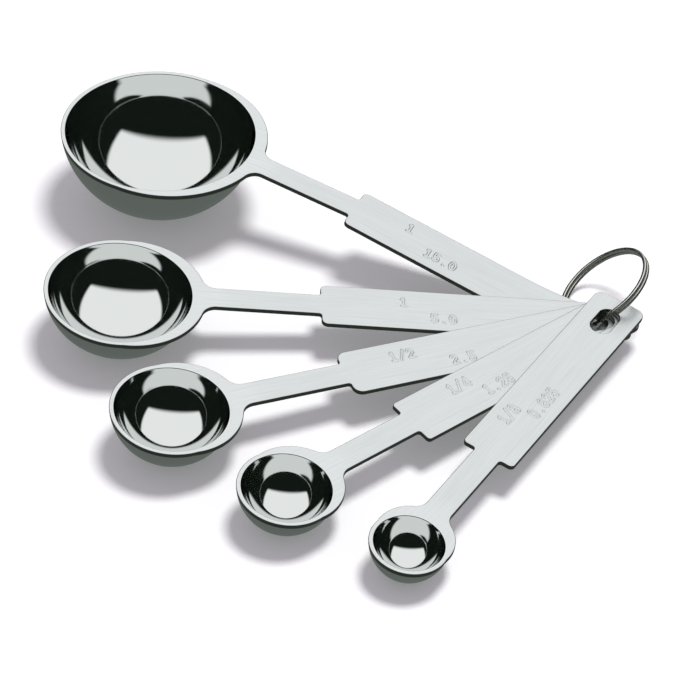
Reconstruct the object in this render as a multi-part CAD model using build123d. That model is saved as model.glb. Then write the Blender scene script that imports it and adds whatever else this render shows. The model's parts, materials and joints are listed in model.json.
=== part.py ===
from build123d import *
import math
import os

# Five one-piece sheet steel measuring spoons, fanned out on a split ring, bowls up.
# Lengths are in millimetres, angles in degrees, +Z is up and the set rests on Z = 0.

mm = 1.0
degree = 1.0

# Sheet and handle sizes that all spoons share. The hole is oval, hole_stretch longer than wide.
sheet = 1.0 * mm
plate_width = 11.5 * mm
neck_width = 5.6 * mm
hole_radius = 2.3 * mm
hole_stretch = 3.5 * mm
hole_to_end = 6.1 * mm
end_corner = 2.0 * mm
inner_corner_share = 0.2
root_flange = 2.0 * mm
root_fillet = 3.0 * mm

# Bowl shape: part of a half ellipse turned about the bowl's axis. The angle says how much of
# it is used, from the bottom up: 90 ends in an upright wall, less leaves the wall flared.
bowl_wall_angle = 84.0 * degree
bowl_curve_spans = 8

# Stack of handle plates on the ring: parallel planes that rise gently to the upper left
stack_tilt = 5.516 * degree
stack_tilt_direction = 144.9 * degree
stack_height = 2.27 * mm
stack_gap = 0.12 * mm
tablespoon_drop = 1.46 * mm

# Split ring: two turns of flat wire, lying on its low side
ring_radius = 10.8 * mm
ring_tilt = 39.5 * degree
ring_direction = 177.7 * degree
wire_radial = 0.8 * mm
wire_axial = 0.75 * mm
turn_gap = 0.1 * mm
crossover_angle = 34.0 * degree
crossover_place = 197.0 * degree
crossover_steps = 6

# Room past a face that a cut may take, and a length that counts as nothing
overrun = 5.0 * mm
hair = 0.01 * mm

# Each spoon from the bottom of the stack up. capacity is in cubic millimetres, azimuth is the
# way the handle points in plan. Lengths along the handle start at the middle of the round end
# of the oval hole. wire_shares say where the wire sits in that round end, along and across the
# handle, as shares of the room that it has there. shoulder_share is the rounding of the plate's
# corners at its step, as a share of the step's depth. bends are the handle's slopes past the
# hole, past the step and at the rim, against the slope of the stack.
millilitre = 1000.0 * mm ** 3
spoons = [
    {"name": "tablespoon", "capacity": 15.0 * millilitre, "rim_radius": 21.6 * mm,
     "hole_to_step": 53.7 * mm, "step_to_bowl": 46.7 * mm, "shoulder_share": 0.44,
     "azimuth": 158.6 * degree, "wire_shares": (0.45, 0.32),
     "bends": (8.4 * degree, 3.7 * degree, -3.9 * degree)},
    {"name": "teaspoon", "capacity": 5.0 * millilitre, "rim_radius": 15.7 * mm,
     "hole_to_step": 56.8 * mm, "step_to_bowl": 41.5 * mm, "shoulder_share": 0.44,
     "azimuth": 185.6 * degree, "wire_shares": (0.1, 0.21), "bends": None},
    {"name": "half_teaspoon", "capacity": 2.5 * millilitre, "rim_radius": 12.3 * mm,
     "hole_to_step": 57.5 * mm, "step_to_bowl": 37.1 * mm, "shoulder_share": 0.68,
     "azimuth": 205.6 * degree, "wire_shares": (0.1, -0.24), "bends": None},
    {"name": "quarter_teaspoon", "capacity": 1.25 * millilitre, "rim_radius": 9.75 * mm,
     "hole_to_step": 54.2 * mm, "step_to_bowl": 31.6 * mm, "shoulder_share": 0.27,
     "azimuth": 223.1 * degree, "wire_shares": (0.05, -0.29), "bends": None},
    {"name": "eighth_teaspoon", "capacity": 0.625 * millilitre, "rim_radius": 7.8 * mm,
     "hole_to_step": 50.7 * mm, "step_to_bowl": 29.4 * mm, "shoulder_share": 0.34,
     "azimuth": 240.4 * degree, "wire_shares": (-0.18, -0.2), "bends": None},
]
plate_bend_share = 0.18
plate_bend_radius = 60.0 * mm
step_bend_radius = 30.0 * mm
rim_bend_radius = 12.0 * mm


def sine(angle):
    return math.sin(math.radians(angle))


def cosine(angle):
    return math.cos(math.radians(angle))


def direction(angle):
    """Unit vector in plan at an azimuth."""
    return Vector(cosine(angle), sine(angle), 0)


def leaning_normal(tilt, toward):
    """Normal of a plane that rises by tilt toward an azimuth."""
    return Vector(-sine(tilt) * cosine(toward), -sine(tilt) * sine(toward), cosine(tilt))


# Frame of the stack and of the ring, with the ring's centre over the plan's zero
stack_normal = leaning_normal(stack_tilt, stack_tilt_direction)
ring_normal = Vector(sine(ring_tilt) * cosine(ring_direction),
                     sine(ring_tilt) * sine(ring_direction), cosine(ring_tilt))
band = 2 * wire_axial + turn_gap
ring_middle = ring_radius - wire_radial / 2
ring_centre = Vector(0, 0, ring_radius * sine(ring_tilt) + band / 2 * cosine(ring_tilt))


def plate_level(index):
    """Height of a plate's top over the plan's zero, from its place in the stack."""
    level = stack_height + sheet + index * (sheet + stack_gap)
    return level + (tablespoon_drop if index > 0 else 0)


def wire_crossing(level):
    """Point where the wire's middle line goes through a plate's middle plane, near side."""
    across = ring_normal.cross(Vector(0, 0, 1)).normalized()
    up = ring_normal.cross(across)
    distance = (Vector(0, 0, level) - ring_centre).dot(stack_normal) - sheet / 2
    along_across = ring_middle * across.dot(stack_normal)
    along_up = ring_middle * up.dot(stack_normal)
    lead = math.atan2(along_up, along_across)
    spread = math.acos(distance / math.hypot(along_across, along_up))
    points = [ring_centre + across * (ring_middle * math.cos(turn))
              + up * (ring_middle * math.sin(turn)) for turn in (lead + spread, lead - spread)]
    return min(points, key=lambda point: point.Y)


def spoon_place(index, spoon):
    """The spoon's own frame: middle of the hole's round end on top, X to the bowl, Z off it."""
    handle = direction(spoon["azimuth"])
    along = (handle - stack_normal * handle.dot(stack_normal)).normalized()
    sideways = stack_normal.cross(along)
    room = hole_radius - wire_radial / 2
    offset_along, offset_across = spoon["wire_shares"]
    wire = wire_crossing(plate_level(index))
    origin = wire - along * (offset_along * room) - sideways * (offset_across * room)
    origin = origin + stack_normal * (sheet / 2)
    return Plane(origin=origin, x_dir=along, z_dir=stack_normal)


def inner_depth(spoon):
    """Depth that gives the capacity, level full, for the rim radius and the bowl's shape."""
    inner = spoon["rim_radius"] - sheet
    level = cosine(bowl_wall_angle)
    filled = (2 / 3 - level + level ** 3 / 3) / ((1 - level) * sine(bowl_wall_angle) ** 2)
    return spoon["capacity"] / (filled * math.pi * inner ** 2)


def turned_bowl(rim, depth):
    """Solid bowl shape under its rim's plane: the half section turned about the axis."""
    half_width = rim / sine(bowl_wall_angle)
    half_height = depth / (1 - cosine(bowl_wall_angle))
    steps = [bowl_wall_angle * count / bowl_curve_spans for count in range(bowl_curve_spans + 1)]
    points = [(half_width * sine(step), half_height * (1 - cosine(step)) - depth) for step in steps]
    at_rim = (half_width * cosine(bowl_wall_angle), half_height * sine(bowl_wall_angle))
    wall = Spline(*points, tangents=[(1, 0), at_rim])
    top = Line(wall @ 1, (0, 0))
    axis = Line((0, 0), wall @ 0)
    return Rot(90, 0, 0) * revolve(make_face([wall, top, axis]), Axis.Y)


def bowl_solids(spoon):
    """Outer and inner bodies of the bowl, the rim's plane at Z = 0."""
    depth = inner_depth(spoon)
    hollow = turned_bowl(spoon["rim_radius"] - sheet, depth)
    outside = turned_bowl(spoon["rim_radius"], depth + sheet)
    return outside, hollow


def handle_points(spoon):
    """Side view of the handle's top, from its end to the bowl's middle, and the rim's slope."""
    step = spoon["hole_to_step"]
    centre = step + spoon["step_to_bowl"]
    if spoon["bends"] is None:
        return [(-hole_to_end, 0), (centre, 0)], [], 0
    plate, neck, rim = spoon["bends"]
    rim_start = centre - spoon["rim_radius"] - root_flange - sheet
    points = [(-hole_to_end, 0)]
    height = 0
    position = plate_bend_share * step
    points.append((position, height))
    for slope, reach in ((plate, step), (neck, rim_start), (rim, centre)):
        height += (reach - position) * math.tan(math.radians(slope))
        position = reach
        points.append((position, height))
    return points, [plate_bend_radius, step_bend_radius, rim_bend_radius], rim


def handle_band(spoon):
    """Sheet in side view, bent as the handle is and wide enough for the bowl's root."""
    points, radii, rim = handle_points(spoon)
    under = [(across, height - sheet) for across, height in points]
    if radii:
        top = FilletPolyline(*points, radius=radii)
        bottom = FilletPolyline(*under, radius=radii)
    else:
        top = Polyline(*points)
        bottom = Polyline(*under)
    ends = [Line(points[0], under[0]), Line(points[-1], under[-1])]
    side = make_face([top, bottom] + ends)
    half_width = spoon["rim_radius"] + overrun
    return Rot(90, 0, 0) * extrude(side, half_width, both=True)


def neck_corners(outline):
    """Corners of the plan that lie on the neck's two edges, in order along the handle."""
    edge = neck_width / 2
    corners = [corner for corner in outline.vertices() if abs(abs(corner.Y) - edge) < hair]
    return sorted(corners, key=lambda corner: corner.X)


def handle_outline(spoon):
    """Plan of the handle: plate with its hole, neck and the crescent at the bowl's root."""
    step = spoon["hole_to_step"]
    centre = step + spoon["step_to_bowl"]
    length = step + hole_to_end
    step_depth = (plate_width - neck_width) / 2
    plate = Pos((step - hole_to_end) / 2, 0) * Rectangle(length, plate_width)
    plate = fillet(plate.vertices().sort_by(Axis.X)[:2], end_corner)
    plate = fillet(plate.vertices().sort_by(Axis.X)[-2:], spoon["shoulder_share"] * step_depth)
    neck = Pos((step + centre) / 2 - sheet, 0) * Rectangle(centre - step + 2 * sheet, neck_width)
    root = Pos(centre - root_flange, 0) * Circle(spoon["rim_radius"])
    outline = plate + neck + root
    outline = fillet(neck_corners(outline)[:2], inner_corner_share * step_depth)
    outline = fillet(neck_corners(outline)[-2:], root_fillet)
    hole = Pos(hole_stretch / 2, 0) * SlotCenterToCenter(hole_stretch, 2 * hole_radius)
    return outline - hole


def build_spoon(index, spoon):
    """One spoon in its place: handle cut from the bent sheet, joined to its bowl."""
    points, _, rim = handle_points(spoon)
    across, height = points[-1]
    prism = extrude(handle_outline(spoon), spoon["rim_radius"] + overrun, both=True)
    handle = prism & handle_band(spoon)
    outside, hollow = bowl_solids(spoon)
    seat = Pos(across, 0, height) * Rot(0, -rim, 0)
    body = handle + seat * outside - seat * hollow
    print(spoon["name"], "holds", round(hollow.volume / millilitre, 3), "ml")
    return spoon_place(index, spoon).location * body


def build_ring():
    """Split ring of two turns, the second laid on the first, with one crossover."""
    pitch = wire_axial + turn_gap
    arc = 360 - crossover_angle
    section = Pos(ring_middle, -pitch / 2) * Rectangle(wire_radial, wire_axial)
    lower = revolve(Plane.XZ * section, Axis.Z, arc)
    upper = Pos(0, 0, pitch) * lower
    sections = []
    for step in range(crossover_steps + 1):
        share = step / crossover_steps
        angle = arc + share * crossover_angle
        rise = pitch * (share ** 2 * (3 - 2 * share) - 1 / 2)
        outward = direction(angle)
        place = Plane(origin=outward * ring_middle + Vector(0, 0, rise), x_dir=outward,
                      z_dir=direction(angle + 90))
        sections.append(place * Rectangle(wire_radial, wire_axial))
    crossover = loft(sections, ruled=True)
    ring = lower + crossover + upper
    across = ring_normal.cross(Vector(0, 0, 1)).normalized()
    frame = Plane(origin=ring_centre, x_dir=across, z_dir=ring_normal)
    return frame.location * Rot(0, 0, crossover_place) * ring


nodes = {spoon["name"]: build_spoon(index, spoon) for index, spoon in enumerate(spoons)}
nodes["split_ring"] = build_ring()

# The set's origin is the middle of its box, at the surface that it rests on
low_corner = Vector(*[min(getattr(node.bounding_box().min, axis) for node in nodes.values())
                      for axis in "XYZ"])
high_corner = Vector(*[max(getattr(node.bounding_box().max, axis) for node in nodes.values())
                       for axis in "XYZ"])
shift = Vector(-(low_corner.X + high_corner.X) / 2, -(low_corner.Y + high_corner.Y) / 2,
               -low_corner.Z)

os.makedirs("parts", exist_ok=True)
for name, node in nodes.items():
    export_step(Pos(shift) * node, f"parts/{name}.step")

print("stack normal", [round(value, 6) for value in stack_normal])
print("ring centre", [round(value, 3) for value in ring_centre + shift])
for index, spoon in enumerate(spoons):
    place = spoon_place(index, spoon)
    print(spoon["name"], "hole", [round(value, 3) for value in place.origin + shift],
          "lowest", round(nodes[spoon["name"]].bounding_box().min.Z + shift.Z, 3))
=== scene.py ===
import json
import math

import bmesh
import bpy
import numpy as np
from mathutils import Matrix, Vector
from mathutils.geometry import delaunay_2d_cdt


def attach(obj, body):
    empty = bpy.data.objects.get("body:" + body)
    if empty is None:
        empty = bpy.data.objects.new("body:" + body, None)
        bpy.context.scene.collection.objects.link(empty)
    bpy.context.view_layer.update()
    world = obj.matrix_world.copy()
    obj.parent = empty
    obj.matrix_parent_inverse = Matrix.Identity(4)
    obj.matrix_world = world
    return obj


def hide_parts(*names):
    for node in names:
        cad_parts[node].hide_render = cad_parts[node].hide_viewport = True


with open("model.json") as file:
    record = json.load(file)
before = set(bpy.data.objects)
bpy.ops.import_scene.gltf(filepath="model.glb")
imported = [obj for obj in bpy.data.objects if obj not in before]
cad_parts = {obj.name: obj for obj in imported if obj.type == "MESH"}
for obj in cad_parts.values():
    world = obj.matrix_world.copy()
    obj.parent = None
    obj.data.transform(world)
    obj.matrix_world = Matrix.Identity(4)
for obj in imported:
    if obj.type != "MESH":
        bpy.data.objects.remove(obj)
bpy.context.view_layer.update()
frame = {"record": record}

# Measuring spoons of stamped stainless sheet on a split ring. Shapes are worked out in
# millimetres in each piece's own frame, then placed in the set's frame in metres.

mm = 0.001
joints = {joint["child"]: joint for joint in frame["record"]["behaviour"]["joints"]}
loopMount = frame["record"]["mounts"][0]

photoCamera = {
    "focalPixels": 2491.6,  # for a picture 700 pixels wide
    "picturePixels": 700,
    "elevation": 40.872,  # degrees above the table
    "distance": 520.39,  # mm from the point that it looks at
    "roll": 4.171,
    "target": (2.293, 1.307, 0.0),  # mm, on the table
}

sheetSteel = {
    "thickness": 1.0,
    "plateWidth": 11.5,
    "neckWidth": 5.6,
    "holeRadius": 2.3,
    "holeStretch": 3.5,
    "holeToEnd": 6.1,
    "endCorner": 2.0,
    "innerCorner": 0.59,
    "rootFlange": 2.0,
    "rootFillet": 3.0,
    "edgeRound": 0.13,  # tumbled edge of the blank
    "edgeSteps": 4,
    "support": 0.04,  # narrow strip that keeps the flats' shading flat
    "pointSpacing": 1.3,
    "cornerSteps": 9,
    "holeSteps": 25,
    "sideSamples": 4001,
    "looseSpacing": 1.5,  # points inside the flats, and how far they stay off edges and figures
    "looseMargin": 0.6,
    "figureMargin": 0.5,
    "polishLead": 3.0,  # the bowl's polish starts this far up the neck and grows over its length
    "polishLength": 5.0,
    "mergeDistance": 0.002,
}

bowlPress = {
    "wallAngle": 84.0,  # how much of a half ellipse the section is, from the bottom up
    "rings": 46,
    "rimRound": 0.24,  # mm, the mirror-polished inner edge of the rim
    "lipSteps": 6,
    "lipClearShare": 1.5,  # the wall's points start this share of the round below the rim
    "underClear": 0.2,  # mm from the flat's underside to the outer wall's first ring
    "neckSteps": 6,
    "filletSteps": 10,
    "rimSteps": 84,
}

# Lengths along a handle start at the middle of the round end of its hole. shoulder is the round
# of the plate's corners at its step. turns are the handle's bends in side view: place, slope
# after it, radius. numberAt says where each number starts and where its middle is across.
spoons = {
    "tablespoon": {
        "millilitres": 15.0, "rimRadius": 21.6, "holeToStep": 53.7, "stepToBowl": 46.7,
        "shoulder": 1.298, "azimuth": 158.6, "numbers": ("1", "15.0"),
        "turns": ((9.666, 8.4, 60.0), (53.7, 3.7, 30.0), (75.8, -3.9, 12.0)),
        "numberAt": ((41.8, -2.5), (35.7, 1.7)),
    },
    "teaspoon": {
        "millilitres": 5.0, "rimRadius": 15.7, "holeToStep": 56.8, "stepToBowl": 41.5,
        "shoulder": 1.298, "azimuth": 185.6, "numbers": ("1", "5.0"), "turns": (),
        "numberAt": ((40.1, -2.3), (33.8, 2.0)),
    },
    "half_teaspoon": {
        "millilitres": 2.5, "rimRadius": 12.3, "holeToStep": 57.5, "stepToBowl": 37.1,
        "shoulder": 2.006, "azimuth": 205.6, "numbers": ("1/2", "2.5"), "turns": (),
        "numberAt": ((46.8, -1.9), (34.7, 2.1)),
    },
    "quarter_teaspoon": {
        "millilitres": 1.25, "rimRadius": 9.75, "holeToStep": 54.2, "stepToBowl": 31.6,
        "shoulder": 0.797, "azimuth": 223.1, "numbers": ("1/4", "1.25"), "turns": (),
        "numberAt": ((41.7, -2.4), (35.4, 1.7)),
    },
    "eighth_teaspoon": {
        "millilitres": 0.625, "rimRadius": 7.8, "holeToStep": 50.7, "stepToBowl": 29.4,
        "shoulder": 1.003, "azimuth": 240.4, "numbers": ("1/8", "0.625"), "turns": (),
        "numberAt": ((41.0, -2.2), (35.7, 1.7)),
    },
}

stampedNumbers = {
    "height": 2.5,
    "advance": 1.95,
    "outline": 0.25,  # from the middle of a stroke to the line that outlines it
    "lineWidth": 0.1,
    "depth": 0.16,
    "grid": 0.1,
    "margin": 0.9,
}

splitRing = {
    "outerRadius": 10.8,
    "wireRadial": 0.8,
    "wireAxial": 0.75,
    "turnGap": 0.1,
    "crossoverAngle": 34.0,
    "crossoverPlace": 197.0,
    "edgeRound": 0.2,
    "stepDegrees": 2.0,
    "cornerSteps": 5,
    "endRound": 0.1,
    "endShare": 0.3,  # the blunt end's middle row, as a share of its round
    "mergeDistance": 0.001,
}

# Plain finishes: the colour; the pattern in the gloss as its size in mm and its detail, with
# the range of the noise that is spread over the range of roughness; and the relief's pattern,
# with its height in mm and its strength
steelFinishes = {
    # polished in the press tool: sharp reflections that wander where the sheet was drawn
    "mirror_polished_stainless_steel": {
        "colour": "#E2E5E4", "gloss": (2.5, 3.0), "noise": (0.35, 0.7), "roughness": (0.035, 0.075),
        "relief": (7.0, 1.0), "height": 0.02, "strength": 0.5,
    },
    # cut by the blanking die and tumbled: duller, with fine marks; its darker colour is partly the
    # tumbled steel and partly painted shade, standing in for the shadowed table that the edges
    # reflect
    "sheared_steel_edge_with_painted_shade": {
        "colour": "#6F746F", "gloss": (0.5, 3.0), "noise": (0.3, 0.7), "roughness": (0.25, 0.4),
        "relief": (0.5, 3.0), "height": 0.01, "strength": 0.5,
    },
    # rolled flat and plated: warmer and a little softer than the bowls
    "nickel_plated_spring_steel": {
        "colour": "#E6E7E1", "gloss": (1.2, 4.0), "noise": (0.3, 0.7), "roughness": (0.2, 0.3),
        "relief": (1.2, 4.0), "height": 0.01, "strength": 0.4,
    },
}

# Brushed finish: the lines are wider than the real grit so that they show
brushedFinish = {
    "colours": ("#D9DDDE", "#E6EAEA"),
    "lineSize": (14.0, 0.22),  # mm along and across
    "lineDetail": 4.0,
    "lineRoughness": 0.6,
    "cloudSize": (18.0, 2.4),
    "cloudDetail": 2.0,
    "noise": (0.3, 0.7),
    "roughness": (0.3, 0.4),
    "polishedRoughness": 0.12,
    "height": 0.012,
    "strength": 0.35,
    "polishedStrength": 0.03,
}

studio = {
    "sensorWidth": 36,  # mm
    "clip": (0.01, 10),  # metres, as are the floor, the lamp and its distance
    "floorSize": 3.0,
    "floorColour": "#F4F4F4",
    "paintedFloorReflection": "#666C67",  # painted grey that the steel shows in place of the white table, a painted darker reflection
    "floorGlow": 0.15,  # what the camera sees on top of the lit floor
    "skyLevel": 0.42,  # light from all round on dull surfaces
    "skyColour": "#F1E9F7",
    "keyEnergy": 10.5,
    "keySize": 0.36,
    "keyBearing": 48.0,  # degrees from +Y towards +X
    "keyElevation": 77.0,
    "keyDistance": 1.2,
    "darkRoom": "#141A15",
    # softbox overhead: its sides and its front and back edge, over its height, and its level
    "softboxSides": 1.4,
    "softboxFront": -0.55,
    "softboxBack": 4.0,
    "softboxEdge": 0.12,
    "softboxLevel": 0.98,
    "horizon": 0.0001,
}
white = (1, 1, 1, 1)


# A colour written as it is seen, turned to the linear values that the shaders take
def hexColour(text):
    seen = np.array([int(text[i:i + 2], 16) for i in (1, 3, 5)]) / 255
    linear = np.where(seen <= 0.04045, seen / 12.92, ((seen + 0.055) / 1.055) ** 2.4)
    return (*linear.tolist(), 1.0)


# Adds a node: settings are its own fields, inputs its sockets by name or number
def addNode(tree, kind, inputs=None, **settings):
    made = tree.nodes.new(kind)
    for field, value in settings.items():
        setattr(made, field, value)
    for socket, value in (inputs or {}).items():
        if isinstance(value, bpy.types.NodeSocket):
            tree.links.new(value, made.inputs[socket])
        else:
            made.inputs[socket].default_value = value
    return made


def newMaterial(name):
    material = bpy.data.materials.new(name)
    material.use_nodes = True
    material.node_tree.nodes.clear()
    return material, material.node_tree


# Share of a cylinder of the same rim and depth that the bowl fills, from the ellipse's integral
def filledShare():
    level = math.cos(math.radians(bowlPress["wallAngle"]))
    return (2 / 3 - level + level ** 3 / 3) / ((1 - level) * (1 - level ** 2))


# Points of a bowl's half section from the axis to the rim: sine across and cosine up of equal
# angles from the bottom, stretched so that the last one is at the rim
def bowlProfile(rim, depth):
    last = math.radians(bowlPress["wallAngle"])
    angles = np.linspace(0, last, bowlPress["rings"])[1:]
    level = math.cos(last)
    across = rim * np.sin(angles) / math.sin(last)
    return np.stack([across, -depth * (np.cos(angles) - level) / (1 - level)], 1)


# Radius of that section at a height under the rim
def wallRadiusAt(rim, depth, height):
    last = math.radians(bowlPress["wallAngle"])
    up = math.cos(last) - height / depth * (1 - math.cos(last))
    return rim * math.sqrt(1 - up ** 2) / math.sin(last)


# Levels of the blank's edge from top to underside: how far in from the outline, and the height;
# a quarter round at each edge and a narrow flat strip beside it
def edgeLevels():
    thickness, radius, support = (sheetSteel[key] for key in ("thickness", "edgeRound", "support"))
    angles = np.linspace(0, math.pi / 2, sheetSteel["edgeSteps"])
    insets = radius * (1 - np.sin(angles))
    heights = radius * (np.cos(angles) - 1)
    insets = np.concatenate([[radius + support], insets, insets[::-1], [radius + support]])
    heights = np.concatenate([[0], heights, -thickness - heights[::-1], [-thickness]])
    return insets, heights


# Plan of the flat round a bowl, about the bowl's middle with the handle towards -X: half the
# neck's cut, the fillet's arc, then the crescent's circle or the rim's, whichever is further out
def rootOutline(rim, inset, wallRadius):
    half = sheetSteel["neckWidth"] / 2
    flange, fillet = sheetSteel["rootFlange"], sheetSteel["rootFillet"]
    reach = math.sqrt((rim + fillet) ** 2 - (half + fillet) ** 2)
    cut = -(flange + reach)
    neckY = np.linspace(0, half - inset, bowlPress["neckSteps"] + 1)
    neck = np.stack([np.full_like(neckY, cut), neckY], 1)
    turn = math.atan2(half + fillet, reach)
    angles = -math.pi / 2 + np.linspace(0, math.pi / 2 - turn, bowlPress["filletSteps"] + 1)[1:]
    filletArc = np.array([cut, half + fillet]) + (fillet + inset) * np.stack(
        [np.cos(angles), np.sin(angles)], 1)
    touch = np.array([-flange, 0]) + rim * np.array([-math.cos(turn), math.sin(turn)])
    start = math.atan2(touch[1], -touch[0])
    around = np.linspace(start, math.pi, bowlPress["rimSteps"] + 1)[1:]
    chord = np.sqrt((rim - inset) ** 2 - (flange * np.sin(around)) ** 2)
    radius = np.maximum(flange * np.cos(around) + chord, wallRadius)
    circle = radius[:, None] * np.stack([-np.cos(around), np.sin(around)], 1)
    side = np.concatenate([neck, filletArc, circle])
    mirrored = side[1:-1][::-1] * (1, -1)
    return np.concatenate([side, mirrored])


# Plan of the handle from the neck's cut round the plate's end and back: straight edges with a
# small round in each inner corner and a larger one at each outer corner
def handlePath(spoon, inset):
    half, wide = sheetSteel["neckWidth"] / 2, sheetSteel["plateWidth"] / 2
    inner, shoulder, corner = sheetSteel["innerCorner"], spoon["shoulder"], sheetSteel["endCorner"]
    step, end, spacing = spoon["holeToStep"], -sheetSteel["holeToEnd"], sheetSteel["pointSpacing"]

    def straight(x0, x1, y):
        x = np.linspace(x0, x1, max(2, round(abs(x1 - x0) / spacing)))
        return np.stack([x, np.full_like(x, y)], 1)

    def arc(x, y, radius, start, finish):
        angles = np.radians(np.linspace(start, finish, sheetSteel["cornerSteps"]))
        return np.stack([x + radius * np.cos(angles), y + radius * np.sin(angles)], 1)

    side = np.concatenate([
        straight(spoon["cut"], step + inner, half - inset)[:-1],
        arc(step + inner, half + inner, inner + inset, 270, 180),
        arc(step - shoulder, wide - shoulder, shoulder - inset, 0, 90),
        straight(step - shoulder, end + corner, wide - inset)[1:-1],
        arc(end + corner, wide - corner, corner - inset, 90, 180)])
    return np.concatenate([side, side[::-1] * (1, -1)])


# The oval hole's edge: two half circles joined by straights
def holePath(inset):
    radius, stretch = sheetSteel["holeRadius"] + inset, sheetSteel["holeStretch"]
    angles = np.radians(np.linspace(-90, 90, sheetSteel["holeSteps"]))
    right = np.stack([stretch + radius * np.cos(angles), radius * np.sin(angles)], 1)
    left = np.stack([-radius * np.cos(angles), -radius * np.sin(angles)], 1)
    return np.concatenate([right, left])


# Height and slope of the handle's top along it: the slope goes evenly from one value to the
# next over each turn's arc, and the height adds it up
def sideView(spoon):
    start, finish = -sheetSteel["holeToEnd"], spoon["centre"] + spoon["rimRadius"]
    along = np.linspace(start - 1, finish + 1, sheetSteel["sideSamples"])
    angle, before = np.zeros_like(along), 0.0
    for place, after, radius in spoon["turns"]:
        half = radius * math.tan(math.radians(abs(after - before) / 2))
        angle += (after - before) * np.clip((along - place + half) / (2 * half), 0, 1)
        before = after
    slope = np.tan(np.radians(angle))
    height = np.concatenate([[0], np.cumsum((slope[1:] + slope[:-1]) / 2 * np.diff(along))])
    height -= np.interp(start, along, height)
    return along, height, np.radians(angle)


# Strokes of the plain figures in a cell 0.6 wide and 1 high: ellipses, arcs and straights
def figureStrokes(figure):
    def oval(x, y, rx, ry, start=0, finish=360, count=19):
        angles = np.radians(np.linspace(start, finish, count))
        return np.stack([x + rx * np.cos(angles), y + ry * np.sin(angles)], 1)

    shapes = {
        "0": [oval(0.3, 0.5, 0.24, 0.46)],
        "1": [np.array([[0.14, 0.8], [0.32, 0.96], [0.32, 0.04]]),
              np.array([[0.12, 0.04], [0.52, 0.04]])],
        "2": [np.concatenate([oval(0.3, 0.7, 0.24, 0.26, 165, -35, 12),
                              [[0.06, 0.04], [0.54, 0.04]]])],
        "4": [np.array([[0.44, 0.04], [0.44, 0.96], [0.04, 0.3], [0.58, 0.3]])],
        "5": [np.concatenate([[[0.5, 0.96], [0.14, 0.96], [0.1, 0.56]],
                              oval(0.28, 0.34, 0.25, 0.3, 115, -150, 14)])],
        "6": [np.concatenate([oval(0.32, 0.5, 0.26, 0.46, 60, 180, 9),
                              oval(0.3, 0.3, 0.24, 0.26, 180, -180, 18)])],
        "8": [oval(0.3, 0.73, 0.2, 0.23), oval(0.3, 0.27, 0.25, 0.25)],
        ".": [np.array([[0.28, 0.04], [0.32, 0.04]])],
        "/": [np.array([[0.04, -0.04], [0.56, 1.04]])],
    }
    return shapes[figure]


# Depth of the stamp over points of the plate: a soft groove that keeps a set distance from the
# middle of every stroke, so that each figure is outlined
def stampDepth(points, spoon):
    height, advance = stampedNumbers["height"], stampedNumbers["advance"]
    starts, ends = [], []
    for text, (x, y) in zip(spoon["numbers"], spoon["numberAt"]):
        for place, figure in enumerate(text):
            for stroke in figureStrokes(figure):
                # the figures read towards the ring: along is -X and their tops point to -Y
                plan = np.stack([x - place * advance - stroke[:, 0] * height,
                                 y + height / 2 - stroke[:, 1] * height], 1)
                starts.append(plan[:-1])
                ends.append(plan[1:])
    starts, ends = np.concatenate(starts), np.concatenate(ends)
    run = ends - starts
    share = ((points[:, None] - starts) * run).sum(2) / (run ** 2).sum(1)
    nearest = starts + np.clip(share, 0, 1)[..., None] * run
    distance = np.sqrt(((points[:, None] - nearest) ** 2).sum(2)).min(1)
    offset = (distance - stampedNumbers["outline"]) / stampedNumbers["lineWidth"]
    return -stampedNumbers["depth"] * np.exp(-offset ** 2)


# Box in plan that holds the figures, with a margin
def stampBox(spoon):
    height, advance, margin = (stampedNumbers[key] for key in ("height", "advance", "margin"))
    wide = [len(text) * advance for text in spoon["numbers"]]
    xs = [x for x, _ in spoon["numberAt"]]
    ys = [y for _, y in spoon["numberAt"]]
    low = (min(x - w for x, w in zip(xs, wide)) - margin / 2, min(ys) - height / 2 - margin)
    high = (max(xs) + margin, max(ys) + height / 2 + margin)
    return np.array(low), np.array(high)


# True for points inside a closed outline: a ray along +X crosses it an odd number of times
def insideOutline(points, outline):
    following = np.roll(outline, -1, 0)
    x, y = points[:, 0, None], points[:, 1, None]
    crosses = (outline[:, 1] > y) != (following[:, 1] > y)
    rise = following[:, 1] - outline[:, 1]
    safe = np.where(rise == 0, 1, rise)
    at = outline[:, 0] + (y - outline[:, 1]) / safe * (following[:, 0] - outline[:, 0])
    return (crosses & (x < at)).sum(1) % 2 == 1


# Gathers grids, loops and triangles of points into one mesh, with a finish for each face
class SheetMesh:
    def __init__(self):
        self.points, self.faces, self.finish, self.count = [], [], [], 0

    def add(self, points):
        first = self.count
        self.points.append(points)
        self.count += len(points)
        return first + np.arange(len(points))

    # Quads between two rows of the same length; closed rows join their ends
    def strip(self, one, two, finish, closed=True, skip=None):
        nextOne, nextTwo = np.roll(one, -1), np.roll(two, -1)
        quads = np.stack([one, nextOne, nextTwo, two], 1)
        keep = np.ones(len(quads), bool)
        if not closed:
            keep[-1] = False
        if skip is not None:
            keep &= ~skip
        self.addFaces(quads[keep], finish)

    def addFaces(self, faces, finish):
        self.faces.extend(faces.tolist())
        self.finish.extend([finish] * len(faces))


# the cut edge faces take a steel whose dark colour is partly painted shade
polished, satin, shearedPaintedDark = 0, 1, 2  # finishes of a spoon's faces


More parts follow.
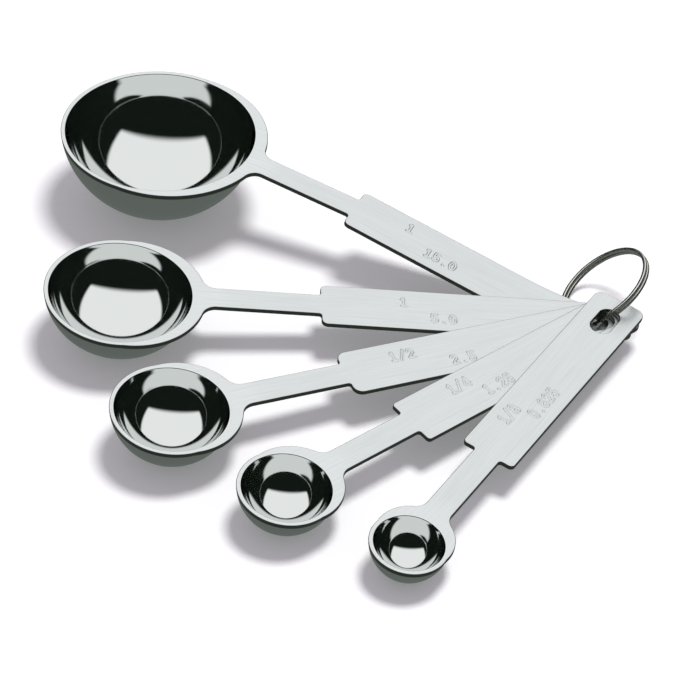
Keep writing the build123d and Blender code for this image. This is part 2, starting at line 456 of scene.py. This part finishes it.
# Bowl with the flat round it: rings of points at the same bearings from the bowl's middle, from
# the inner bottom up over the rim, out to the outline, round its edge and down the outside
def addBowl(mesh, spoon):
    rim, thickness = spoon["rimRadius"], sheetSteel["thickness"]
    inner = rim - thickness
    depth = spoon["millilitres"] * 1000 / (filledShare() * math.pi * inner ** 2)
    insets, heights = edgeLevels()
    outline = rootOutline(rim, 0.0, rim)
    bearing = np.arctan2(outline[:, 1], outline[:, 0])
    count, cutCount = len(outline), bowlPress["neckSteps"]
    order = np.arange(count)
    cutFaces = (order < cutCount) | (order >= count - cutCount)

    def circle(radius, height):
        return np.stack([radius * np.cos(bearing), radius * np.sin(bearing),
                         np.full(count, height)], 1)

    insideRound = bowlPress["rimRound"]
    inside = bowlProfile(inner, depth)
    inside = inside[inside[:, 1] < -insideRound * bowlPress["lipClearShare"]]
    pole = mesh.add(np.array([[0, 0, -depth]]))
    ring = mesh.add(circle(*inside[0]))
    mesh.addFaces(np.stack([np.full(count, pole[0]), ring, np.roll(ring, -1)], 1), polished)
    angles = np.linspace(0, math.pi / 2, bowlPress["lipSteps"])
    lip = np.stack([inner + insideRound * (1 - np.cos(angles)),
                    insideRound * (np.sin(angles) - 1)], 1)
    lip = np.concatenate([inside[1:], lip, [[inner + insideRound + sheetSteel["support"], 0]]])
    for radius, height in lip:
        following = mesh.add(circle(radius, height))
        mesh.strip(ring, following, polished)
        ring = following

    # round the outline: the rim's own outer corner is rounded too, its wall slopes in below
    topLevels = len(insets) // 2
    for level, (inset, height) in enumerate(zip(insets, heights)):
        wall = wallRadiusAt(rim, depth + thickness, height)
        wall = min(wall, rim - inset) if level < topLevels else wall
        plan = rootOutline(rim, inset, wall)
        following = mesh.add(np.concatenate([plan, np.full((count, 1), height)], 1))
        if level == 0:
            mesh.strip(ring, following, satin)
        else:
            mesh.strip(ring, following, satin if level == 1 else shearedPaintedDark, skip=cutFaces)
        ring = following

    outside = bowlProfile(rim, depth + thickness)
    outside = outside[outside[:, 1] < -thickness - bowlPress["underClear"]][::-1]
    following = mesh.add(circle(wallRadiusAt(rim, depth + thickness, -thickness), -thickness))
    mesh.strip(ring, following, satin)
    ring = following
    for radius, height in outside:
        following = mesh.add(circle(radius, height))
        mesh.strip(ring, following, polished)
        ring = following
    pole = mesh.add(np.array([[0, 0, -depth - thickness]]))
    mesh.addFaces(np.stack([np.full(count, pole[0]), np.roll(ring, -1), ring], 1), polished)


# Grid over the box of the figures that goes down into the stamped lines; gives the box's outline
def addStampGrid(mesh, spoon, height):
    low, high = stampBox(spoon)
    cells = np.maximum(1, np.round((high - low) / stampedNumbers["grid"])).astype(int)
    xs, ys = (np.linspace(low[i], high[i], cells[i] + 1) for i in (0, 1))
    gridX, gridY = np.meshgrid(xs, ys)
    flat = np.stack([gridX.ravel(), gridY.ravel()], 1)
    depth = stampDepth(flat, spoon).reshape(gridX.shape)
    depth[[0, -1]] = 0
    depth[:, [0, -1]] = 0
    grid = mesh.add(np.column_stack([flat, depth.ravel() + height])).reshape(gridX.shape)
    quads = np.stack([grid[:-1, :-1], grid[:-1, 1:], grid[1:, 1:], grid[1:, :-1]], -1)
    mesh.addFaces(quads.reshape(-1, 4), satin)
    return np.concatenate([np.stack([xs, np.full_like(xs, ys[0])], 1)[:-1],
                           np.stack([np.full_like(ys, xs[-1]), ys], 1)[:-1],
                           np.stack([xs, np.full_like(xs, ys[-1])], 1)[:0:-1],
                           np.stack([np.full_like(ys, xs[0]), ys], 1)[:0:-1]])


# Loose points inside the flat, which keep the triangles short where the handle is bent
def loosePoints(spoon, inset, stamped):
    spacing, margin = sheetSteel["looseSpacing"], sheetSteel["looseMargin"]
    rows = 3 * spacing
    gridX, gridY = np.meshgrid(np.arange(-5, spoon["cut"] - 1, spacing),
                               np.arange(-rows, rows + 0.1, spacing))
    loose = np.stack([gridX.ravel(), gridY.ravel()], 1)
    wide = np.where(loose[:, 0] > spoon["holeToStep"] - 1,
                    sheetSteel["neckWidth"] / 2 - inset, sheetSteel["plateWidth"] / 2)
    keep = (np.abs(loose[:, 1]) < wide - margin) & ~insideOutline(loose, holePath(inset + margin))
    if stamped:
        low, high = stampBox(spoon)
        reach = sheetSteel["figureMargin"]
        keep &= ~((loose > low - reach) & (loose < high + reach)).all(1)
    return loose[keep]


# Flat face of the handle at a height: triangles between the outline, the hole and, on top, the
# box of the figures
def addHandleFace(mesh, spoon, height, stamped):
    inset = sheetSteel["edgeRound"] + sheetSteel["support"]
    outline, hole = handlePath(spoon, inset), holePath(inset)
    half = sheetSteel["neckWidth"] / 2 - inset
    across = np.linspace(-half, half, 2 * bowlPress["neckSteps"] + 1)[1:-1]
    atCut = np.stack([np.full_like(across, spoon["cut"]), across], 1)
    outline = np.concatenate([outline, atCut])
    loops = [outline, hole]
    if stamped:
        loops.append(addStampGrid(mesh, spoon, height))
    edges, first = [], 0
    for loop in loops:
        order = first + np.arange(len(loop))
        edges.append(np.stack([order, np.roll(order, -1)], 1))
        first += len(loop)
    points = np.concatenate(loops + [loosePoints(spoon, inset, stamped)])
    made = delaunay_2d_cdt([Vector(point) for point in points.tolist()],
                           np.concatenate(edges).tolist(), [], 0, 1e-6)
    flat, triangles = np.array([tuple(point) for point in made[0]]), np.array(made[2])
    middle = flat[triangles].mean(1)
    keep = insideOutline(middle, outline) & ~insideOutline(middle, hole)
    if stamped:
        low, high = stampBox(spoon)
        keep &= ~((middle > low) & (middle < high)).all(1)
    rows = mesh.add(np.column_stack([flat, np.full(len(flat), height)]))
    mesh.addFaces(rows[triangles[keep]], satin)


# Handle: its two flat faces, and the edge carried round the outline and through the hole
def addHandle(mesh, spoon):
    insets, heights = edgeLevels()
    last = len(insets) - 1
    for path, closed in ((lambda inset: handlePath(spoon, inset), False), (holePath, True)):
        row = None
        for level, (inset, height) in enumerate(zip(insets, heights)):
            plan = path(inset)
            following = mesh.add(np.column_stack([plan, np.full(len(plan), height)]))
            if row is not None:
                # the edge's middle levels get the darker edge steel, partly painted shade
                finish = satin if level in (1, last) else shearedPaintedDark
                mesh.strip(row, following, finish, closed=closed)
            row = following
    addHandleFace(mesh, spoon, 0.0, True)
    addHandleFace(mesh, spoon, -sheetSteel["thickness"], False)


# Makes the mesh object in the set's frame from points in metres
def meshObject(name, points, faces):
    data = bpy.data.meshes.new(name)
    data.from_pydata(points, [], faces)
    made = bpy.data.objects.new(name, data)
    bpy.context.scene.collection.objects.link(made)
    return made


# Merges the seams' doubles, turns all faces outwards and shades them smooth
def closeMesh(made, distance):
    work = bmesh.new()
    work.from_mesh(made.data)
    bmesh.ops.remove_doubles(work, verts=work.verts, dist=distance)
    bmesh.ops.dissolve_degenerate(work, dist=distance, edges=work.edges)
    bmesh.ops.recalc_face_normals(work, faces=work.faces)
    openEdges = sum(1 for edge in work.edges if not edge.is_manifold)
    work.to_mesh(made.data)
    work.free()
    made.data.polygons.foreach_set("use_smooth", np.ones(len(made.data.polygons), bool))
    return openEdges


def makeSpoon(name, spoon, materials):
    rim = spoon["rimRadius"]
    reach = math.sqrt((rim + sheetSteel["rootFillet"]) ** 2
                      - (sheetSteel["neckWidth"] / 2 + sheetSteel["rootFillet"]) ** 2)
    spoon["centre"] = spoon["holeToStep"] + spoon["stepToBowl"]
    spoon["cut"] = spoon["centre"] - sheetSteel["rootFlange"] - reach
    mesh = SheetMesh()
    addBowl(mesh, spoon)
    bowlPoints = mesh.count
    addHandle(mesh, spoon)
    flat = np.concatenate(mesh.points)
    flat[:bowlPoints, 0] += spoon["centre"]

    # side view: each point moves off the bent top line along its normal
    along, height, slope = sideView(spoon)
    top, turn = np.interp(flat[:, 0], along, height), np.interp(flat[:, 0], along, slope)
    local = np.column_stack([flat[:, 0] - flat[:, 2] * np.sin(turn), flat[:, 1],
                             top + flat[:, 2] * np.cos(turn)])

    # the spoon's frame: the joint's point, X along the handle to the bowl, Z off the stack
    normal = np.array(joints[name]["axis"])
    normal /= np.linalg.norm(normal)
    bearing = math.radians(spoon["azimuth"])
    handle = np.array([math.cos(bearing), math.sin(bearing), 0])
    forward = handle - normal * (handle @ normal)
    forward /= np.linalg.norm(forward)
    axes = np.stack([forward, np.cross(normal, forward), normal])
    placed = local * mm @ axes + np.array(joints[name]["pos_m"])

    made = meshObject(name + "_steel", placed, mesh.faces)
    for material in materials:
        made.data.materials.append(material)
    made.data.polygons.foreach_set("material_index", np.array(mesh.finish, np.int32))
    # pattern coordinates in millimetres along and across the handle
    uv = made.data.uv_layers.new(name="handleMm")
    corners = np.empty(len(made.data.loops), np.int32)
    made.data.loops.foreach_get("vertex_index", corners)
    uv.data.foreach_set("uv", flat[corners, :2].astype(np.float32).ravel())
    # how far the bowl's polish reaches up the neck: full on the flange, fading out before it
    polish = made.data.attributes.new("polish", "FLOAT", "POINT")
    fromStart = flat[:, 0] - spoon["cut"] + sheetSteel["polishLead"]
    share = np.clip(fromStart / sheetSteel["polishLength"], 0, 1)
    polish.data.foreach_set("value", (share * share * (3 - 2 * share)).astype(np.float32))
    openEdges = closeMesh(made, sheetSteel["mergeDistance"] * mm)
    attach(made, name)
    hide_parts(name)
    print(name, "faces", len(made.data.polygons), "open edges", openEdges)


# Split ring: a rounded rectangle carried twice round a circle, rising by one pitch in between
def makeRing(material):
    pitch = splitRing["wireAxial"] + splitRing["turnGap"]
    middle = splitRing["outerRadius"] - splitRing["wireRadial"] / 2
    turn = 360 - splitRing["crossoverAngle"]
    total = 2 * turn + splitRing["crossoverAngle"]
    angles = np.linspace(0, total, round(total / splitRing["stepDegrees"]) + 1)
    share = np.clip((angles - turn) / splitRing["crossoverAngle"], 0, 1)
    heights = pitch * (share ** 2 * (3 - 2 * share) - 0.5)

    # the section's four rounded corners, drawn in for the blunt ends' round
    def section(inset):
        halfs = np.array([splitRing["wireRadial"], splitRing["wireAxial"]]) / 2
        radius = splitRing["edgeRound"]
        steps = np.radians(np.linspace(0, 90, splitRing["cornerSteps"]))
        parts = []
        for quarter, (sx, sy) in enumerate(((1, 1), (-1, 1), (-1, -1), (1, -1))):
            at = steps + quarter * math.pi / 2
            corner = (halfs - radius) * (sx, sy)
            parts.append(corner + (radius - inset) * np.stack([np.cos(at), np.sin(at)], 1))
        return np.concatenate(parts)

    ends, share = splitRing["endRound"], splitRing["endShare"]
    endTurn = math.degrees(ends / middle)
    atEnd = np.array([0, endTurn * share, endTurn])
    angles = np.concatenate([atEnd, angles[1:-1], total - atEnd[::-1]])
    heights = np.interp(angles, np.linspace(0, total, len(heights)), heights)
    insets = np.zeros(len(angles))
    insets[[0, -1]] = ends
    insets[[1, -2]] = ends * share
    bearing = np.radians(angles + splitRing["crossoverPlace"])
    rows = np.stack([section(inset) for inset in insets])
    radius = middle + rows[:, :, 0]
    local = np.stack([radius * np.cos(bearing)[:, None], radius * np.sin(bearing)[:, None],
                      rows[:, :, 1] + heights[:, None]], 2)
    axis = np.array(loopMount["axis"])
    axis /= np.linalg.norm(axis)
    across = np.cross(axis, (0, 0, 1))
    across /= np.linalg.norm(across)
    axes = np.stack([across, np.cross(axis, across), axis])
    mesh = SheetMesh()
    row = None
    for points in local:
        following = mesh.add(points)
        if row is not None:
            mesh.strip(row, following, 0)
        row = following
    for one in (local[0], local[-1]):
        loop, pole = mesh.add(one), mesh.add(one.mean(0)[None])
        mesh.addFaces(np.stack([np.full(len(loop), pole[0]), loop, np.roll(loop, -1)], 1), 0)
    placed = np.concatenate(mesh.points) * mm @ axes + np.array(loopMount["pos_m"])
    made = meshObject("split_ring_wire", placed, mesh.faces)
    made.data.materials.append(material)
    openEdges = closeMesh(made, splitRing["mergeDistance"] * mm)
    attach(made, "split_ring")
    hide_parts("split_ring")
    print("split ring faces", len(made.data.polygons), "open edges", openEdges)


# Noise whose grains have a size in mm, over object coordinates in metres
def grains(tree, size, detail):
    place = addNode(tree, "ShaderNodeTexCoord").outputs["Object"]
    made = addNode(tree, "ShaderNodeTexNoise",
                   {"Vector": place, "Scale": 1 / (size * mm), "Detail": detail})
    return made.outputs["Fac"]


# Spreads a range of a noise over a range of values
def spread(tree, noise, source, target):
    made = addNode(tree, "ShaderNodeMapRange", {
        "Value": noise, "From Min": source[0], "From Max": source[1],
        "To Min": target[0], "To Max": target[1]})
    return made.outputs["Result"]


def relief(tree, noise, height, strength):
    made = addNode(tree, "ShaderNodeBump",
                   {"Height": noise, "Distance": height * mm, "Strength": strength})
    return made.outputs["Normal"]


def metalSurface(tree, colour, roughness, normal):
    shader = addNode(tree, "ShaderNodeBsdfPrincipled", {
        "Base Color": colour, "Metallic": 1.0, "Roughness": roughness, "Normal": normal})
    addNode(tree, "ShaderNodeOutputMaterial", {"Surface": shader.outputs["BSDF"]})


# Steel of one colour: its gloss and a slight relief vary over it
def plainSteel(name):
    finish = steelFinishes[name]
    material, tree = newMaterial(name)
    normal = relief(tree, grains(tree, *finish["relief"]), finish["height"], finish["strength"])
    roughness = spread(tree, grains(tree, *finish["gloss"]), finish["noise"], finish["roughness"])
    metalSurface(tree, hexColour(finish["colour"]), roughness, normal)
    return material


# Stainless steel, satin brushed along the handle: a soft sheen and fine lines, which give way
# to the bowl's polish on the flange
def brushedStainless():
    finish = brushedFinish
    material, tree = newMaterial("satin_brushed_stainless_steel")
    place = addNode(tree, "ShaderNodeUVMap", uv_map="handleMm").outputs["UV"]
    polish = addNode(tree, "ShaderNodeAttribute", attribute_name="polish").outputs["Fac"]

    def streaks(size, detail, inputs):
        scale = (1 / size[0], 1 / size[1], 1)
        stretch = addNode(tree, "ShaderNodeMapping", {"Vector": place, "Scale": scale})
        made = addNode(tree, "ShaderNodeTexNoise", {
            "Vector": stretch.outputs["Vector"], "Scale": 1.0, "Detail": detail, **inputs})
        return made.outputs["Fac"]

    lines = streaks(finish["lineSize"], finish["lineDetail"],
                    {"Roughness": finish["lineRoughness"]})
    clouds = streaks(finish["cloudSize"], finish["cloudDetail"], {})
    strength = spread(tree, polish, (0, 1), (finish["strength"], finish["polishedStrength"]))
    normal = relief(tree, lines, finish["height"], strength)
    satinRough = spread(tree, clouds, finish["noise"], finish["roughness"])
    rough = addNode(tree, "ShaderNodeMix", {
        "Factor": polish, "A": satinRough, "B": finish["polishedRoughness"]}, data_type="FLOAT")
    dark, light = (hexColour(text) for text in finish["colours"])
    tone = spread(tree, lines, finish["noise"], (0, 1))
    colour = addNode(tree, "ShaderNodeMix", {0: tone, 6: dark, 7: light}, data_type="RGBA")
    metalSurface(tree, colour.outputs[2], rough.outputs[0], normal)
    return material


def addCamera():
    tilt, roll = math.radians(photoCamera["elevation"]), math.radians(photoCamera["roll"])
    forward = Vector((0, math.cos(tilt), -math.sin(tilt)))
    level, upward = Vector((1, 0, 0)), Vector((0, math.sin(tilt), math.cos(tilt)))
    right = level * math.cos(roll) + upward * math.sin(roll)
    top = upward * math.cos(roll) - level * math.sin(roll)
    place = Vector(photoCamera["target"]) * mm - forward * photoCamera["distance"] * mm
    data = bpy.data.cameras.new("photoCamera")
    data.sensor_width = studio["sensorWidth"]
    data.lens = photoCamera["focalPixels"] * data.sensor_width / photoCamera["picturePixels"]
    data.clip_start, data.clip_end = studio["clip"]
    camera = bpy.data.objects.new("photoCamera", data)
    turned = Matrix((right, top, -forward)).transposed().to_4x4()
    camera.matrix_world = Matrix.Translation(place) @ turned
    bpy.context.scene.collection.objects.link(camera)
    bpy.context.scene.camera = camera


# White matt table: dull white that keeps shadows, with a little glow for what the camera sees of
# it, and in the steel's reflections a painted even grey, a painted darker reflection instead of the
# lit table
def addFloor():
    half = studio["floorSize"] / 2
    corners = [(-half, -half, 0), (half, -half, 0), (half, half, 0), (-half, half, 0)]
    floor = meshObject("table_top", corners, [(0, 1, 2, 3)])
    material, tree = newMaterial("white_matt_table")
    path = addNode(tree, "ShaderNodeLightPath")
    level = addNode(tree, "ShaderNodeMath", {
        0: path.outputs["Is Camera Ray"], 1: studio["floorGlow"]}, operation="MULTIPLY")
    dull = addNode(tree, "ShaderNodeBsdfDiffuse", {"Color": hexColour(studio["floorColour"])})
    glow = addNode(tree, "ShaderNodeEmission", {"Color": white, "Strength": level.outputs[0]})
    both = addNode(tree, "ShaderNodeAddShader", {0: dull.outputs[0], 1: glow.outputs[0]})
    # painted reflection: the steel sees this flat grey emission instead of the lit white table
    paintedReflection = addNode(tree, "ShaderNodeEmission", {
        "Color": hexColour(studio["paintedFloorReflection"]), "Strength": 1.0})
    shown = addNode(tree, "ShaderNodeMixShader", {
        0: path.outputs["Is Glossy Ray"], 1: both.outputs[0], 2: paintedReflection.outputs[0]})
    addNode(tree, "ShaderNodeOutputMaterial", {"Surface": shown.outputs[0]})
    floor.data.materials.append(material)


# The room: white to the camera, plain light on dull surfaces, and for reflections a dark room
# under a wide softbox. Its edges are set by sideways and forward over up in each direction.
def addRoom():
    world = bpy.data.worlds.new("studioRoom")
    bpy.context.scene.world = world
    world.use_nodes = True
    tree = world.node_tree
    tree.nodes.clear()
    direction = addNode(tree, "ShaderNodeTexCoord").outputs["Generated"]
    split = addNode(tree, "ShaderNodeSeparateXYZ", {0: direction})
    x, y, z = split.outputs

    def maths(operation, first, second):
        return addNode(tree, "ShaderNodeMath", {0: first, 1: second},
                       operation=operation).outputs[0]

    def ramp(value, place, edge, start, finish):
        return addNode(tree, "ShaderNodeMapRange", {
            0: value, 1: place - edge, 2: place + edge, 3: start, 4: finish},
            interpolation_type="SMOOTHSTEP").outputs[0]

    def window(value, low, high, edge):
        rise, fall = ramp(value, low, edge, 0.0, 1.0), ramp(value, high, edge, 1.0, 0.0)
        return maths("MULTIPLY", rise, fall)

    over = maths("MAXIMUM", z, studio["horizon"])
    edge, sides = studio["softboxEdge"], studio["softboxSides"]
    across = window(maths("DIVIDE", x, over), -sides, sides, edge)
    along = window(maths("DIVIDE", y, over), studio["softboxFront"], studio["softboxBack"], edge)
    softbox = maths("MULTIPLY", maths("MULTIPLY", across, along), studio["softboxLevel"])
    path = addNode(tree, "ShaderNodeLightPath")

    def background(colour, level):
        return addNode(tree, "ShaderNodeBackground", {0: colour, 1: level}).outputs[0]

    def either(way, first, second):
        return addNode(tree, "ShaderNodeMixShader", {
            0: path.outputs[way], 1: first, 2: second}).outputs[0]

    plain = background(hexColour(studio["skyColour"]), studio["skyLevel"])
    dark = background(hexColour(studio["darkRoom"]), 1.0)
    room = addNode(tree, "ShaderNodeAddShader", {
        0: dark, 1: background(white, softbox)}).outputs[0]
    seen = either("Is Camera Ray", either("Is Glossy Ray", plain, room), background(white, 1.0))
    addNode(tree, "ShaderNodeOutputWorld", {"Surface": seen})


# One soft key lamp from behind on the right, whose shadows fall to the front left
def addLamp():
    data = bpy.data.lights.new("keySoftbox", "AREA")
    data.shape, data.size, data.energy = "DISK", studio["keySize"], studio["keyEnergy"]
    lamp = bpy.data.objects.new("keySoftbox", data)
    bearing, height = math.radians(studio["keyBearing"]), math.radians(studio["keyElevation"])
    level = math.cos(height)
    away = Vector((math.sin(bearing) * level, math.cos(bearing) * level, math.sin(height)))
    lamp.location = away * studio["keyDistance"]
    lamp.rotation_mode = "QUATERNION"
    lamp.rotation_quaternion = away.to_track_quat("Z", "Y")
    lamp.visible_glossy = False  # the room's softbox is what the steel shows
    bpy.context.scene.collection.objects.link(lamp)


bpy.context.scene.view_settings.view_transform = "Standard"
addCamera()
addFloor()
addRoom()
addLamp()
print("stage done")

steels = (plainSteel("mirror_polished_stainless_steel"), brushedStainless(),
          plainSteel("sheared_steel_edge_with_painted_shade"))
for spoonName, spoonData in spoons.items():
    makeSpoon(spoonName, spoonData, steels)
makeRing(plainSteel("nickel_plated_spring_steel"))
